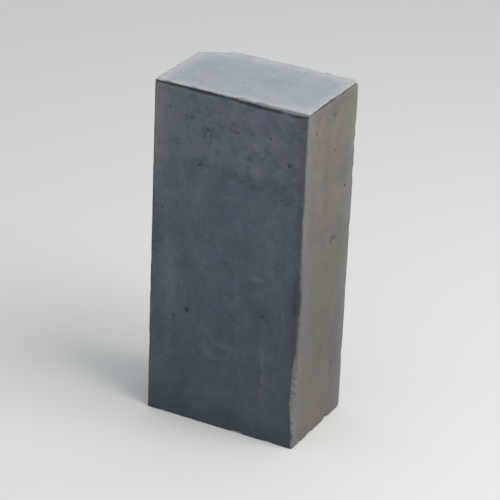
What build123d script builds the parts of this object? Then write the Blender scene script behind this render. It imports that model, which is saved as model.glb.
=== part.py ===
"""Precast concrete curb, one casting, standing on its foot end as it leaves the mould.

The section is a rectangle with one long corner cut off by a flat bevel, and it runs the whole
length of the block. +Z is up along the length, +X across the wide side and +Y across the
narrow side. The origin is at the middle of the foot, on the ground. Sizes are in millimetres.
"""

import os

from build123d import *

# Driving dimensions
curb_length = 600.0
wide_side = 280.0
narrow_side = 180.0
bevel_on_wide_face = 50.0
bevel_on_narrow_face = 35.0

# Radii that the mould and the trowel leave on the arrises
mould_corner_radius = 5.0
bevel_edge_radius = 12.0
struck_arris_radius = 3.0
foot_arris_radius = 2.0

# Where the faces lie
wide_half = wide_side / 2
narrow_half = narrow_side / 2

# A rounded end arris has to stay inside the rounding of the long corners that it meets
largest_end_radius = 0.9 * min(mould_corner_radius, bevel_edge_radius)

with BuildPart() as curb_block:
    # Section: three mould corners, and the bevel across the fourth
    with BuildSketch(Plane.XY) as section:
        with BuildLine():
            Polyline(
                (-wide_half, -narrow_half),
                (wide_half, -narrow_half),
                (wide_half, narrow_half),
                (-wide_half + bevel_on_wide_face, narrow_half),
                (-wide_half, narrow_half - bevel_on_narrow_face),
                close=True,
            )
        make_face()
        towards_bevel = Axis((0, 0, 0), (-1, 1, 0))
        bevel_edges = section.vertices().sort_by(towards_bevel)[-2:]
        fillet(bevel_edges, radius=bevel_edge_radius)
        mould_corners = section.vertices().sort_by(towards_bevel)[:3]
        fillet(mould_corners, radius=mould_corner_radius)
    extrude(amount=curb_length)

    # The trowel eases the arris of the struck end, and the base plate that of the foot
    ends = curb_block.faces().filter_by(Axis.Z).sort_by(Axis.Z)
    foot_arris = ends[0].edges()
    struck_arris = ends[-1].edges()
    fillet(struck_arris, radius=min(struck_arris_radius, largest_end_radius))
    fillet(foot_arris, radius=min(foot_arris_radius, largest_end_radius))

curb_block.part.label = "curb_block"

os.makedirs("parts", exist_ok=True)
export_step(curb_block.part, "parts/curb_block.step")
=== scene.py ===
"""Looks of the precast concrete curb: one casting that stands on its foot end.

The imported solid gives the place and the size. This file works out the cast surface over it: the
mould's uneven faces, air holes, worn and chipped arrises and the trowelled end, with their
cement finish, and sets the block on a plain pale floor under soft light. Lengths are in metres.
"""

from __future__ import annotations

import logging
import math
from dataclasses import dataclass, field
from enum import Enum
from functools import cached_property

import bpy
import numpy as np
from mathutils import Matrix, Vector

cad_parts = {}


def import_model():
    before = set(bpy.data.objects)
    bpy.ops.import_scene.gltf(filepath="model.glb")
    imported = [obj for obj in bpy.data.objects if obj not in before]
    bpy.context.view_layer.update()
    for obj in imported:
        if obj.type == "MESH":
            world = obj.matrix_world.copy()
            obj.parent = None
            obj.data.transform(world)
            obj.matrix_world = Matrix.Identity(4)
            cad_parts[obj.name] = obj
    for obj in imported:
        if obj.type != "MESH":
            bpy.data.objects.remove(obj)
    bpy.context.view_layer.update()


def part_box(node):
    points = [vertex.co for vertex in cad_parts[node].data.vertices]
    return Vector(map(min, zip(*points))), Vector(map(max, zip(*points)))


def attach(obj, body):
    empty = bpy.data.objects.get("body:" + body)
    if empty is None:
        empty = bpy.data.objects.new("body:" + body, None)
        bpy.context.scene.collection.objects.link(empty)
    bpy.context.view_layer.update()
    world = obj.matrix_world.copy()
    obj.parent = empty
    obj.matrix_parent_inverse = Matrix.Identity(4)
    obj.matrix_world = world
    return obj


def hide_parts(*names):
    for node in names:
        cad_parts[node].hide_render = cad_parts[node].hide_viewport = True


log = logging.getLogger("curb")

MM = 0.001
Colour = tuple[float, float, float]
Way = tuple[float, float, float]
Span = tuple[float, float, float, float]
Socket = bpy.types.NodeSocket


class Face(Enum):
    """The five long faces of the block, in the order in which its outline meets them."""

    BACK = 0
    BED = 1
    ROAD = 2
    BEVEL = 3
    CROWN = 4


class End(Enum):
    """The block's two ends, numbered after the long faces."""

    STRUCK = 5
    FOOT = 6


def smooth(share: np.ndarray) -> np.ndarray:
    """Eased step: three times the square less twice the cube, held at 0 and 1 outside."""
    held = np.clip(share, 0.0, 1.0)
    return held * held * (3.0 - 2.0 * held)


def bell(away: np.ndarray, width: float) -> np.ndarray:
    """Bell curve: e to the power of less the square of the distance over the width."""
    return np.exp(-((away / width) ** 2))


def chord(length: np.ndarray, curvature: np.ndarray, heading: np.ndarray) -> np.ndarray:
    """Hop between an arc's ends: length times the sinc of half its turn, along its mean heading.

    Args:
        length: length along each arc.
        curvature: one over its radius, 0 on a straight run.
        heading: direction at its start, in radians.

    Returns:
        One plane vector for each arc.
    """
    turn = length * curvature
    reach = length * np.sinc(turn / (2.0 * np.pi))
    middle = heading + turn / 2.0
    return np.stack([reach * np.cos(middle), reach * np.sin(middle)], axis=-1)


@dataclass(frozen=True)
class Grading:
    """How the steps of a grid grow away from an arris."""

    fine: float = 1.4 * MM
    coarse: float = 3.1 * MM
    reach: float = 22.0 * MM
    posts: int = 20

    def stations(self, begin: float, end: float, cells: int, arrises: np.ndarray) -> np.ndarray:
        """Stations along a line, closest together beside the arrises.

        The wanted step eases from fine at an arris to coarse at the reach from it, and the
        stations share out evenly the running sum of one over that step.

        Args:
            begin: first station.
            end: last station.
            cells: number of steps between them.
            arrises: where the arrises lie on the same line.

        Returns:
            The stations, one more than there are cells.
        """
        fence = np.linspace(begin, end, self.posts * cells + 1)
        away = np.abs(fence[:, None] - arrises[None, :]).min(axis=1)
        wanted = self.fine + (self.coarse - self.fine) * smooth(away / self.reach)
        share = np.concatenate([[0.0], np.cumsum(0.5 / wanted[1:] + 0.5 / wanted[:-1])])
        return np.interp(np.linspace(0.0, share[-1], cells + 1), share, fence)


@dataclass(frozen=True)
class ArcPath:
    """A plane path of straight runs and round turns, walked from its start."""

    start: np.ndarray
    heading: float
    lengths: np.ndarray
    curvatures: np.ndarray

    def total(self) -> float:
        """Length of the whole path."""
        return float(self.lengths.sum())

    def at(self, distance: np.ndarray) -> tuple[np.ndarray, np.ndarray]:
        """Points and headings: the start of the piece walked on, plus the hop along its arc so far.

        Args:
            distance: distances walked from the start.

        Returns:
            The points, and the headings there in radians.
        """
        begins = np.concatenate([[0.0], np.cumsum(self.lengths)[:-1]])
        turns = np.concatenate([[0.0], np.cumsum(self.lengths * self.curvatures)[:-1]])
        headings = self.heading + turns
        hops = chord(self.lengths, self.curvatures, headings)
        starts = self.start + np.concatenate([np.zeros((1, 2)), np.cumsum(hops, axis=0)[:-1]])
        piece = np.clip(np.searchsorted(begins, distance, side="right") - 1, 0, len(begins) - 1)
        gone = distance - begins[piece]
        points = starts[piece] + chord(gone, self.curvatures[piece], headings[piece])
        return points, headings[piece] + gone * self.curvatures[piece]


@dataclass(frozen=True)
class Section:
    """The curb's section: a rectangle with one corner bevelled and every arris rounded."""

    half_wide: float
    half_narrow: float
    wide_bevel: float = 50.0 * MM
    narrow_bevel: float = 35.0 * MM
    mould_radius: float = 5.0 * MM
    bevel_radius: float = 12.0 * MM

    def corners(self) -> np.ndarray:
        """Sharp corners, anticlockwise, each at the start of its face.

        Returns:
            One row of two coordinates for each corner.
        """
        x, y = self.half_wide, self.half_narrow
        cut_x, cut_y = self.wide_bevel - x, y - self.narrow_bevel
        return np.array([(-x, -y), (x, -y), (x, y), (cut_x, y), (-x, cut_y)])

    def runs(self) -> np.ndarray:
        """Sharp edge of each face, from its corner to the next."""
        corners = self.corners()
        return np.roll(corners, -1, axis=0) - corners

    def edges(self) -> np.ndarray:
        """Length of each face's sharp edge."""
        return np.linalg.norm(self.runs(), axis=1)

    def normals(self) -> np.ndarray:
        """Outward unit normal of each face: its edge turned a right angle clockwise."""
        along = self.runs() / self.edges()[:, None]
        return np.stack([along[:, 1], -along[:, 0]], axis=1)

    def radii(self) -> np.ndarray:
        """Radius of the rounding at each corner."""
        mould, bevel = self.mould_radius, self.bevel_radius
        return np.array([mould, mould, mould, bevel, bevel])

    def turns(self) -> np.ndarray:
        """Angle that the outline turns through at each corner."""
        normals = self.normals()
        return np.arccos(np.clip(np.sum(normals * np.roll(normals, 1, axis=0), axis=1), -1.0, 1.0))

    def pieces(self) -> tuple[np.ndarray, np.ndarray, np.ndarray]:
        """Half the arc at each corner, what its rounding takes off each edge, and what is left.

        Half the arc is the radius times half the turn, and the length taken off is the radius
        times the tangent of half the turn.

        Returns:
            Half arcs, tangent lengths and straight lengths, one for each corner or face.
        """
        half_arc = self.radii() * self.turns() / 2.0
        tangent = self.radii() * np.tan(self.turns() / 2.0)
        return half_arc, tangent, self.edges() - tangent - np.roll(tangent, -1)

    def path(self) -> ArcPath:
        """Outline as a path: for each face half an arc, its straight and half the next arc.

        It starts in the middle of the first corner's arc. The gap between that point and the
        sharp corner is the radius times one less than one over the cosine of half the turn.

        Returns:
            The path, anticlockwise.
        """
        half_arc, _, straight = self.pieces()
        curves = 1.0 / self.radii()
        lengths = np.stack([half_arc, straight, np.roll(half_arc, -1)], axis=1).ravel()
        bends = np.stack([curves, np.zeros(len(curves)), np.roll(curves, -1)], axis=1).ravel()
        half_turn = self.turns()[0] / 2.0
        inward = -(self.normals()[0] + self.normals()[-1])
        inward /= np.linalg.norm(inward)
        apex = self.corners()[0] + inward * self.radii()[0] * (1.0 / math.cos(half_turn) - 1.0)
        return ArcPath(apex, -half_turn, lengths, bends)

    def marks(self) -> np.ndarray:
        """Distance along the outline to the middle of each rounded corner, and the whole length."""
        return np.concatenate([[0.0], np.cumsum(self.path().lengths)[2::3]])

    def station(self, face: Face, share: float) -> float:
        """Distance along the outline to a share of one face's sharp edge.

        Args:
            face: the face.
            share: how far along its edge, from 0 to 1.

        Returns:
            The distance from the middle of the first corner's arc.
        """
        half_arc, tangent, _ = self.pieces()
        k = face.value
        return float(self.marks()[k] + half_arc[k] + share * self.edges()[k] - tangent[k])

    def sharp_point(self, turn: np.ndarray) -> np.ndarray:
        """Points on the sharp outline: a number's whole part is the face, the rest the share."""
        face = np.floor(turn).astype(int) % len(self.corners())
        return self.corners()[face] + (turn % 1.0)[:, None] * self.runs()[face]


class Grain:
    """Seeded gradient noise in space, about -1 to 1."""

    gain: float = 1.6
    slots: int = 256

    def __init__(self, seed: int) -> None:
        """Draws the table of slopes.

        Args:
            seed: picks the pattern, which is the same in each run.
        """
        draw = np.random.default_rng(seed)
        slopes = draw.normal(size=(self.slots, 3))
        self.slopes = slopes / np.linalg.norm(slopes, axis=1, keepdims=True)
        self.order = draw.permutation(self.slots)

    def at(self, points: np.ndarray, size: float) -> np.ndarray:
        """Noise at points: random slopes of the eight lattice corners round each, eased together.

        Args:
            points: places in space, one row each.
            size: distance between lattice corners.

        Returns:
            One value for each point.
        """
        scaled = points / size
        cell = np.floor(scaled).astype(int)
        inside = scaled - cell
        ease = inside**3 * (inside * (6.0 * inside - 15.0) + 10.0)
        value = np.zeros(len(points))
        for corner in np.ndindex(2, 2, 2):
            offset = np.array(corner)
            x, y, z = ((cell + offset) % self.slots).T
            slot = self.order[(self.order[x] + y) % self.slots]
            slope = self.slopes[self.order[(slot + z) % self.slots]]
            weight = np.where(offset == 1, ease, 1.0 - ease).prod(axis=1)
            value += weight * np.sum(slope * (inside - offset), axis=1)
        return self.gain * value


class Swell(Enum):
    """Each use of the noise on the casting: its seed, the size of its swells and its layers."""

    BOW = (3, 170.0 * MM, 1)
    RIPPLES = (4, 42.0 * MM, 2)
    SAND = (5, 9.0 * MM, 2)
    LIFT_WAVES = (6, 95.0 * MM, 1)
    LIFT_RAGS = (7, 20.0 * MM, 1)
    LIP = (8, 26.0 * MM, 3)
    SKIRT = (9, 15.0 * MM, 2)
    TROWEL = (21, 12.0 * MM, 2)
    DISH = (22, 80.0 * MM, 1)
    STRUCK_SAND = (23, 8.0 * MM, 2)
    FOOT = (31, 70.0 * MM, 1)
    FOOT_SAND = (32, 7.0 * MM, 2)
    HOLE_RIMS = (41, 6.0 * MM, 1)
    WEAR = (51, 42.0 * MM, 3)
    WEAR_RAGS = (52, 9.0 * MM, 3)
    BROKEN = (61, 11.0 * MM, 2)
    NUDGE_ALONG = (71, 16.0 * MM, 2)
    NUDGE_UP = (72, 16.0 * MM, 2)

    def at(self, points: np.ndarray) -> np.ndarray:
        """Sum of layers of noise, each half the size and half the height of the one before.

        Args:
            points: places in space, one row each.

        Returns:
            One value for each point.
        """
        seed, size, layers = self.value
        grain = Grain(seed)
        apart = 7.3 * MM
        total = np.zeros(len(points))
        for layer in range(layers):
            total += grain.at(points + apart * layer, size / 2**layer) / 2**layer
        return total


def on_face(kind: type, face: Face, *rows: tuple[float, ...]) -> tuple:
    """Things of one kind on one face: rows of share, height above the foot and sizes, in mm."""
    return tuple(kind(face, row[0], *(MM * mm for mm in row[1:])) for row in rows)


@dataclass(frozen=True)
class AirHole:
    """One air hole that the mould's face left open."""

    face: Face
    share: float
    up: float
    radius: float


@dataclass
class AirHoles:
    """The air holes of the long faces: those seen in the photograph, and a seeded scatter."""

    section: Section
    length: float
    seed: int = 11
    scatter: tuple[int, ...] = (8, 6, 12, 3, 8)
    least_radius: float = 1.3 * MM
    most_radius: float = 3.0 * MM
    edge_margin: float = 14.0 * MM
    least_share: float = 0.05
    size_power: float = 0.45
    rise_power: float = 1.5
    chosen: tuple[AirHole, ...] = (
        *on_face(
            AirHole, Face.BACK,
            (0.256, 203, 3.8), (0.762, 229, 2.2), (0.360, 531, 2), (0.552, 538, 1.8),
            (0.314, 467, 2.3), (0.762, 543, 1.7), (0.862, 181, 1.7),
        ),
        *on_face(AirHole, Face.BED, (0.539, 566, 2.9), (0.625, 345, 2.1)),
    )

    def table(self) -> np.ndarray:
        """Every hole as a row of distance along the outline, height and radius.

        A scattered radius is the least one over a power of a random share, so small holes are
        many. Heights crowd towards the struck end, where the air rises in the mould.

        Returns:
            The rows, chosen holes first.
        """
        draw = np.random.default_rng(self.seed)
        rows = [(self.section.station(h.face, h.share), h.up, h.radius) for h in self.chosen]
        edges = self.section.edges()
        for face, count in zip(Face, self.scatter):
            margin = self.edge_margin / edges[face.value]
            shares = draw.uniform(margin, 1.0 - margin, count)
            fall = draw.uniform(0.0, 1.0, count) ** self.rise_power
            ups = self.edge_margin + (self.length - 2.0 * self.edge_margin) * (1.0 - fall)
            shrink = draw.uniform(self.least_share, 1.0, count) ** self.size_power
            radii = np.minimum(self.least_radius / shrink, self.most_radius)
            rows += [
                (self.section.station(face, share), up, radius)
                for share, up, radius in zip(shares, ups, radii)
            ]
        return np.array(rows)


@dataclass(frozen=True)
class Chip:
    """One chip knocked off an arris: the face it starts on, where, how long and how deep."""

    face: Face
    share: float
    up: float
    long: float
    deep: float


@dataclass
class Chips:
    """The chips off the arrises: the larger ones listed, and a seeded scatter of small ones."""

    section: Section
    length: float
    seed: int = 23
    struck_count: int = 26
    foot_count: int = 26
    upright_count: int = 30
    least: float = 4.0 * MM
    most: float = 11.0 * MM
    least_slope: float = 0.16
    most_slope: float = 0.26
    near: float = 4.0 * MM
    arris_gone: float = 1.5 * MM
    corner_gone: float = 4.0 * MM
    least_stand: float = 0.4
    chosen: tuple[Chip, ...] = (
        *on_face(
            Chip, Face.BACK,
            (0.100, 600, 17, 2.4), (0.260, 600, 12, 2), (0.570, 600, 21, 2.3),
            (0.700, 600, 11, 2.1), (0.000, 118, 14, 1.6), (0.620, 0, 30, 4),
        ),
        *on_face(
            Chip, Face.BED,
            (0.420, 600, 15, 2.2), (0.000, 12, 24, 3), (0.000, 100, 180, 5.2),
            (0.000, 84, 66, 6.3), (0.000, 150, 34, 4.2), (0.000, 194, 13, 1.8),
            (0.000, 330, 11, 1.4), (0.700, 0, 22, 3.4),
        ),
        *on_face(
            Chip, Face.ROAD,
            (0.000, 600, 30, 4.6), (0.300, 600, 25, 3.2), (0.000, 220, 16, 1.8),
            (0.550, 0, 34, 4.6),
        ),
        *on_face(Chip, Face.CROWN, (0.550, 600, 19, 2.6), (0.000, 470, 18, 1.6)),
    )

    def rows(self) -> np.ndarray:
        """Every chip as a row of face and share in one number, height, length and depth.

        A scattered chip's length is the least one plus the span times the square of a random
        share, and its depth is that length times a random slope.

        Returns:
            The rows, listed chips first.
        """
        draw = np.random.default_rng(self.seed)
        listed = [(c.face.value + c.share, c.up, c.long, c.deep) for c in self.chosen]
        counts = (self.struck_count, self.foot_count, self.upright_count)
        total = sum(counts)
        faces = draw.choice(len(Face), total, p=self.section.edges() / self.section.edges().sum())
        turn = faces + draw.uniform(0.0, 1.0, total)
        turn[-self.upright_count :] = draw.integers(0, len(Face), self.upright_count)
        ends = np.repeat([self.length, 0.0, 0.0], counts)
        up = ends + np.repeat([0.0, 0.0, 1.0], counts) * draw.uniform(0.0, self.length, total)
        long = self.least + (self.most - self.least) * draw.uniform(0.0, 1.0, total) ** 2
        deep = long * draw.uniform(self.least_slope, self.most_slope, total)
        return np.vstack([np.array(listed), np.column_stack([turn, up, long, deep])])

    def balls(self, normals: np.ndarray, offsets: np.ndarray) -> tuple[np.ndarray, np.ndarray]:
        """A ball for each chip, whose surface is the broken one.

        Its radius is the square of half the chip's length over twice the depth. Its middle
        stands off from the sharp arris by that radius, less the depth and less what the
        rounding has taken off already, along the sum of the normals of the faces that meet.
        It never stands off by less than a share of the radius, so that no face folds over.

        Args:
            normals: outward unit normals of the block's flat faces.
            offsets: distances of those faces from the origin.

        Returns:
            The middles and the radii.
        """
        turn, up, long, deep = self.rows().T
        places = np.column_stack([self.section.sharp_point(turn), up])
        meets = offsets - places @ normals.T < self.near
        lean = meets.astype(float) @ normals
        lean /= np.linalg.norm(lean, axis=1, keepdims=True)
        radii = (long / 2.0) ** 2 / (2.0 * deep)
        gone = np.where(meets.sum(axis=1) > 2, self.corner_gone, self.arris_gone)
        stand = np.maximum(radii - deep - gone, self.least_stand * radii)
        return places + lean * stand[:, None], radii


@dataclass
class CastSurface:
    """The block's outer surface: a wall grid round the section, closed by a grid on each end."""

    section: Section
    length: float
    foot_radius: float = 2.0 * MM
    struck_radius: float = 3.0 * MM
    long_cells: int = 108
    short_cells: int = 76
    rows: int = 212
    grading: Grading = field(default_factory=Grading)
    draw_in: float = 0.8
    draw_reach: float = 26.0 * MM

    def around(self) -> int:
        """Number of points round one row of the wall."""
        return 2 * (self.long_cells + self.short_cells)

    def profile(self) -> ArcPath:
        """The wall's upright profile: a quarter turn at the foot, the straight, a quarter on top.

        Returns:
            The path, whose first coordinate is how far out it lies and whose second is its height.
        """
        quarter = np.pi / 2.0
        straight = self.length - self.foot_radius - self.struck_radius
        lengths = np.array([self.foot_radius * quarter, straight, self.struck_radius * quarter])
        bends = np.array([1.0 / self.foot_radius, 0.0, 1.0 / self.struck_radius])
        return ArcPath(np.array([-self.foot_radius, 0.0]), 0.0, lengths, bends)

    def columns(self) -> np.ndarray:
        """Stations round the outline, side by side between the four corners the end grids use.

        Returns:
            Distances along the outline, one for each point of a row.
        """
        marks = self.section.marks()
        sides = (self.long_cells, self.short_cells, self.long_cells, self.short_cells)
        ends = np.append(marks[:4], marks[-1])
        runs = [
            self.grading.stations(begin, end, cells, marks)[:-1]
            for begin, end, cells in zip(ends[:-1], ends[1:], sides)
        ]
        return np.concatenate(runs)

    def drawn_in(
        self, across: np.ndarray, up: np.ndarray, holes: np.ndarray
    ) -> tuple[np.ndarray, np.ndarray]:
        """Grid drawn in towards each hole, so that its rim has points enough.

        A point's distance from the hole is cut by draw_in times the square of one less the
        square of the distance over the reach. The reach ends where the profile does, so the
        first and the last row stay where they are.

        Args:
            across: each point's distance along the outline.
            up: each point's distance along the profile.
            holes: rows of distance, height and radius.

        Returns:
            The moved distances along the outline and the profile.
        """
        total = self.profile().total()
        for middle, height, _ in holes:
            reach = min(self.draw_reach, height, total - height)
            away = ((across - middle) ** 2 + (up - height) ** 2) / reach**2
            keep = 1.0 - self.draw_in * np.clip(1.0 - away, 0.0, None) ** 2
            across = middle + (across - middle) * keep
            up = height + (up - height) * keep
        return across, up

    def wall(self, holes: np.ndarray) -> tuple[np.ndarray, np.ndarray, np.ndarray]:
        """Wall points: the outline's point, moved along its normal by the profile's reach.

        Args:
            holes: rows of distance along the outline, height and radius.

        Returns:
            Points, outward normals and distances along the outline, row by row.
        """
        profile = self.profile()
        arrises = np.array([0.0, profile.total()])
        stations = self.grading.stations(0.0, profile.total(), self.rows, arrises)
        across, up = np.meshgrid(self.columns(), stations)
        shift = self.foot_radius * (np.pi / 2.0 - 1.0)
        across, up = self.drawn_in(across, up, holes + np.array([0.0, shift, 0.0]))
        plan, heading = self.section.path().at(across.ravel())
        reach, rise = profile.at(up.ravel())
        level = np.stack([np.sin(heading), -np.cos(heading)], axis=1)
        points = np.column_stack([plan + level * reach[:, :1], reach[:, 1]])
        normals = np.column_stack([level * np.sin(rise)[:, None], -np.cos(rise)])
        return points, normals, across.ravel()

    def end_grid(self, loop: np.ndarray) -> np.ndarray:
        """End surface as a Coons patch: both pairs of opposite sides blended, less their corners.

        Args:
            loop: points of one wall row, in column order.

        Returns:
            A grid of points, long side by short side, whose border is the loop.
        """
        border = self.border(np.arange(len(loop)))
        near, far = loop[border[:, 0]], loop[border[:, -1]]
        left, right = loop[border[0]], loop[border[-1]]
        u = np.linspace(0.0, 1.0, self.long_cells + 1)[:, None, None]
        v = np.linspace(0.0, 1.0, self.short_cells + 1)[None, :, None]
        bottom = (1 - u) * near[0] + u * near[-1]
        top = (1 - u) * far[0] + u * far[-1]
        along = (1 - v) * near[:, None] + v * far[:, None]
        across = (1 - u) * left[None] + u * right[None]
        return along + across - (1 - v) * bottom - v * top

    def border(self, row: np.ndarray) -> np.ndarray:
        """Grid of numbers with a wall row's numbers round its border, and -1 inside.

        Args:
            row: the numbers of one wall row, in column order.

        Returns:
            The grid, long side by short side.
        """
        long, short = self.long_cells, self.short_cells
        grid = np.full((long + 1, short + 1), -1)
        loop = np.append(row, row[0])
        grid[:, 0] = loop[: long + 1]
        grid[-1, :] = loop[long : long + short + 1]
        grid[::-1, -1] = loop[long + short : 2 * long + short + 1]
        grid[0, ::-1] = loop[2 * long + short :]
        return grid

    def faces(self) -> np.ndarray:
        """Corner numbers of each quad: the wall's, the struck end's and the foot's, all facing out.

        Returns:
            One row of four numbers for each quad.
        """
        wall = np.arange(self.around() * (self.rows + 1)).reshape(self.rows + 1, self.around())
        ahead = np.roll(wall, -1, axis=1)
        quads = [np.stack([wall[:-1], ahead[:-1], ahead[1:], wall[1:]], axis=-1).reshape(-1, 4)]
        shape = (self.long_cells - 1, self.short_cells - 1)
        inner = shape[0] * shape[1]
        ends = ((wall[-1], wall.size, End.STRUCK), (wall[0], wall.size + inner, End.FOOT))
        for row, first, end in ends:
            grid = self.border(row)
            grid[1:-1, 1:-1] = np.arange(first, first + inner).reshape(shape)
            ring = [grid[:-1, :-1], grid[1:, :-1], grid[1:, 1:], grid[:-1, 1:]]
            turned = ring if end is End.STRUCK else ring[::-1]
            quads.append(np.stack(turned, axis=-1).reshape(-1, 4))
        return np.concatenate(quads)


@dataclass(frozen=True)
class Band:
    """A band of tone along an upright arris: the face it starts, on that face or the one before."""

    face: Face
    ahead: bool
    width: float
    weight: float
    fades_at: float = -1.0


@dataclass(frozen=True)
class Stop:
    """How far the struck skin hangs down at one place along the outline."""

    face: Face
    share: float
    hangs: float


@dataclass(frozen=True)
class Spot:
    """A soft patch of tone on a long face: where, how wide and high, and how strong."""

    face: Face
    share: float
    up: float
    wide: float
    high: float
    weight: float


def spots(face: Face, *rows: tuple[float, ...]) -> tuple[Spot, ...]:
    """Spots on one face: rows of share, height, width, reach up (these in mm) and weight."""
    return tuple(Spot(face, row[0], *(MM * mm for mm in row[1:4]), row[4]) for row in rows)


@dataclass
class Weathering:
    """Where the long faces are paled by their arrises, stained or tinted: the marks that the finish
    reads.

    The pale arris bands are wear and partly painted highlight, and the lip mark also carries
    painted shadow.
    """

    section: Section
    length: float
    lift_height: float = 478.0 * MM
    lift_waves: float = 8.0 * MM
    lift_rags: float = 2.0 * MM
    lift_drop: float = 13.0 * MM
    lift_width: float = 10.0 * MM
    lift_blend: float = 45.0 * MM
    nudge: float = 3.5 * MM
    skirt: tuple[Stop, ...] = (
        Stop(Face.BACK, 0.0, 0.8 * MM),
        Stop(Face.BACK, 0.5, 3.4 * MM),
        Stop(Face.BACK, 0.7, 6.0 * MM),
        Stop(Face.BACK, 0.95, 7.4 * MM),
        Stop(Face.BED, 0.09, 2.2 * MM),
        Stop(Face.ROAD, 0.0, 1.6 * MM),
        Stop(Face.CROWN, 1.0, 0.8 * MM),
    )
    skirt_wander: float = 0.9 * MM
    skirt_edge: float = 1.4 * MM
    lip_drop: float = 2.8 * MM
    lip_width: float = 3.4 * MM
    lip_mean: float = 0.72
    lip_wander: float = 0.6
    lip_heavy: float = 0.4
    lip_least: float = 0.2
    lip_most: float = 1.2
    lip_shares: tuple[float, ...] = (1.0, 0.65, 0.45, 0.45, 0.45)
    heavy_width: float = 8.0 * MM
    band_fade: float = 60.0 * MM
    shade_hides: float = 0.8
    heavy_places: tuple[float, ...] = (0.10, 0.26, 0.37, 0.55, 0.62, 0.70)
    # Paler bands by the upright arrises: worn laitance, partly painted highlight.
    pale_bands: tuple[Band, ...] = (
        Band(Face.BACK, True, 26.0 * MM, 1.0, 0.425),
        Band(Face.BACK, False, 8.0 * MM, 0.6),
        Band(Face.BED, True, 20.0 * MM, 0.66),
        Band(Face.ROAD, False, 24.0 * MM, 0.66),
        Band(Face.ROAD, True, 7.0 * MM, 0.6),
        Band(Face.BEVEL, True, 6.0 * MM, 0.5),
        Band(Face.BEVEL, False, 6.0 * MM, 0.5),
        Band(Face.CROWN, True, 6.0 * MM, 0.5),
        Band(Face.CROWN, False, 6.0 * MM, 0.5),
    )
    dark_bands: tuple[Band, ...] = (Band(Face.BED, False, 19.0 * MM, 0.75),)
    shades: tuple[Spot, ...] = (
        *spots(
            Face.BACK,
            (0.905, 450, 34, 20, 0.50), (0.920, 395, 26, 24, 0.45), (0.900, 515, 30, 34, 0.30),
            (0.985, 265, 12, 85, 1.50), (0.640, 300, 34, 60, 0.20), (0.590, 335, 24, 26, 0.28),
            (0.150, 425, 17, 16, 0.30), (0.080, 175, 11, 26, 0.30), (0.030, 310, 13, 60, 0.30),
            (0.280, 95, 24, 60, 0.15), (0.790, 190, 14, 22, 0.25), (0.650, 105, 28, 30, 0.40),
        ),
        *spots(
            Face.BED,
            (0.500, 580, 80, 14, 0.14), (0.430, 418, 13, 9, 0.25), (0.800, 100, 34, 60, 0.22),
        ),
        *spots(Face.ROAD, (0.500, 300, 40, 90, 0.25)),
    )
    stains: tuple[Spot, ...] = (
        *spots(
            Face.BACK,
            (0.242, 549, 11, 7, 0.80), (0.360, 526, 11, 13, 0.90), (0.528, 546, 12, 9, 0.90),
            (0.335, 476, 9, 13, 0.70), (0.752, 517, 8, 9, 0.80), (0.715, 505, 14, 7, 0.70),
            (0.640, 500, 8, 10, 0.70), (0.685, 452, 16, 8, 0.70), (0.430, 500, 9, 8, 0.60),
            (0.150, 505, 10, 8, 0.60), (0.480, 463, 7, 7, 0.50), (0.860, 440, 30, 5, 0.80),
            (0.591, 330, 8, 12, 0.70), (0.256, 202, 7, 8, 1.00), (0.748, 231, 13, 13, 0.80),
            (0.480, 243, 14, 16, 0.40), (0.390, 165, 9, 7, 0.50),
        ),
        *spots(Face.BED, (0.539, 566, 8, 6, 0.90), (0.630, 343, 13, 8, 1.00)),
        *spots(Face.ROAD, (0.300, 515, 12, 9, 0.80), (0.620, 430, 10, 12, 0.70)),
        *spots(Face.CROWN, (0.400, 480, 9, 9, 0.70)),
    )
    blooms: tuple[Spot, ...] = (
        *spots(
            Face.BACK,
            (0.676, 480, 9, 8, 1.20), (0.668, 524, 11, 6, 0.70), (0.572, 521, 8, 7, 0.60),
            (0.772, 551, 7, 14, 0.70), (0.290, 425, 22, 14, 0.25), (0.710, 425, 16, 11, 0.30),
            (0.710, 293, 12, 4, 0.70), (0.714, 266, 10, 7, 0.45), (0.775, 142, 3.5, 56, 0.70),
            (0.480, 154, 40, 3.5, 0.50), (0.420, 135, 6, 5, 0.60), (0.142, 255, 14, 80, 0.55),
            (0.125, 140, 9, 40, 0.30), (0.260, 205, 24, 75, 0.30), (0.220, 515, 14, 30, 0.25),
            (0.400, 170, 9, 45, 0.28), (0.800, 150, 8, 40, 0.25),
        ),
        *spots(
            Face.BED,
            (0.120, 20, 26, 24, 0.40), (0.180, 235, 14, 90, 0.45), (0.460, 72, 8, 7, 0.35),
        ),
        *spots(Face.ROAD, (0.450, 180, 5, 60, 0.70)),
        *spots(Face.CROWN, (0.600, 220, 4, 45, 0.60)),
    )
    rosy: tuple[Spot, ...] = (
        *spots(
            Face.BED,
            (0.500, 505, 70, 62, 0.68), (0.460, 400, 38, 30, 1.00), (0.400, 30, 60, 44, 0.50),
        ),
        *spots(Face.ROAD, (0.220, 330, 45, 60, 0.60)),
    )
    violet: tuple[Spot, ...] = (
        *spots(
            Face.BACK,
            (0.720, 566, 46, 24, 0.60), (0.970, 285, 12, 55, 1.00), (0.140, 225, 12, 26, 0.80),
            (0.780, 110, 12, 16, 0.80), (0.060, 565, 14, 24, 0.60),
        ),
        *spots(Face.BED, (0.160, 410, 16, 24, 0.80)),
        *spots(Face.ROAD, (0.350, 540, 50, 30, 0.80)),
        *spots(Face.CROWN, (0.550, 350, 30, 60, 0.80)),
    )
    olive: tuple[Spot, ...] = (
        *spots(
            Face.BED,
            (0.550, 290, 60, 42, 1.00), (0.400, 185, 60, 50, 0.80), (0.850, 565, 26, 30, 0.50),
        ),
        *spots(Face.BACK, (0.850, 172, 20, 20, 0.14), (0.075, 370, 12, 24, 0.30)),
        *spots(Face.CROWN, (0.350, 120, 50, 80, 0.70)),
    )

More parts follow.
